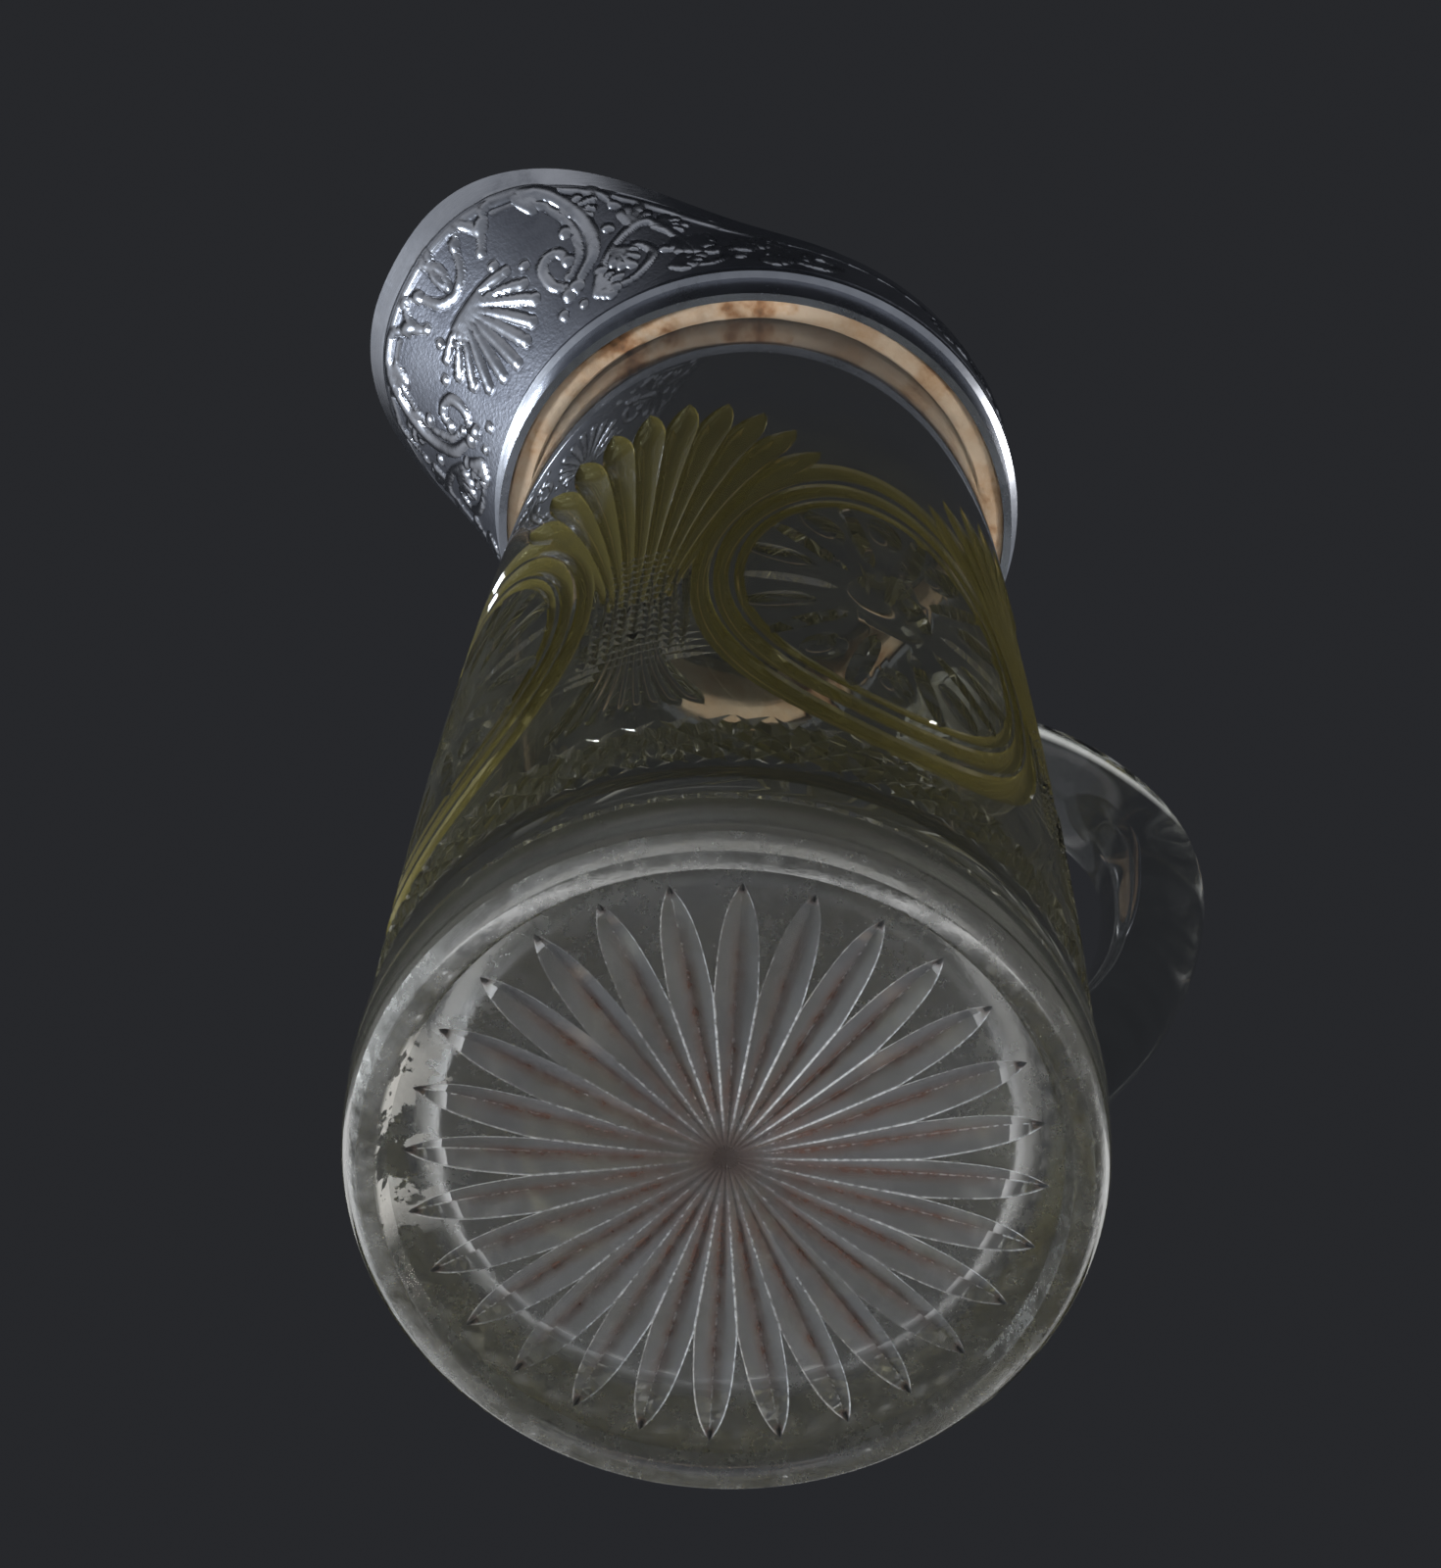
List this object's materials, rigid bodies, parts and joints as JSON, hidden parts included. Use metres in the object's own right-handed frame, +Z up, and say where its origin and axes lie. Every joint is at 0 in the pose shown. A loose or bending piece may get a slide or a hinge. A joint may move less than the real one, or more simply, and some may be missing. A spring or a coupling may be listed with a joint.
{
  "type": "cut crystal jug",
  "caption": "Tapering cut glass jug with a star cut foot, an applied glass handle and an embossed silver-plated collar with a broad pouring spout.",
  "frame": {"origin": "middle of the foot, on the plane that the foot ring rests on", "axes": "+Z up along the body, +X towards the handle, -X towards the spout"},
  "size_m": [0.1598, 0.114, 0.2635],
  "materials": {
    "body_glass": "clear lead glass with an olive cast in the cut pattern, ground grey in the star",
    "handle_glass": "clear polished glass",
    "plaster": "matt cream plaster with tan and brown stains",
    "silver_band": "plain silver plate, lightly tarnished",
    "silver_embossed": "embossed silver plate, dark in the hollows"
  },
  "bodies": {
    "root": {"glass_body": "body_glass", "glass_handle": "handle_glass", "plaster_bed": "plaster", "collar_band": "silver_band", "bead_wire": "silver_band", "ledge_ring": "silver_band", "spout_collar": "silver_embossed", "rim_wire": "silver_band"}
  },
  "joints": []
}
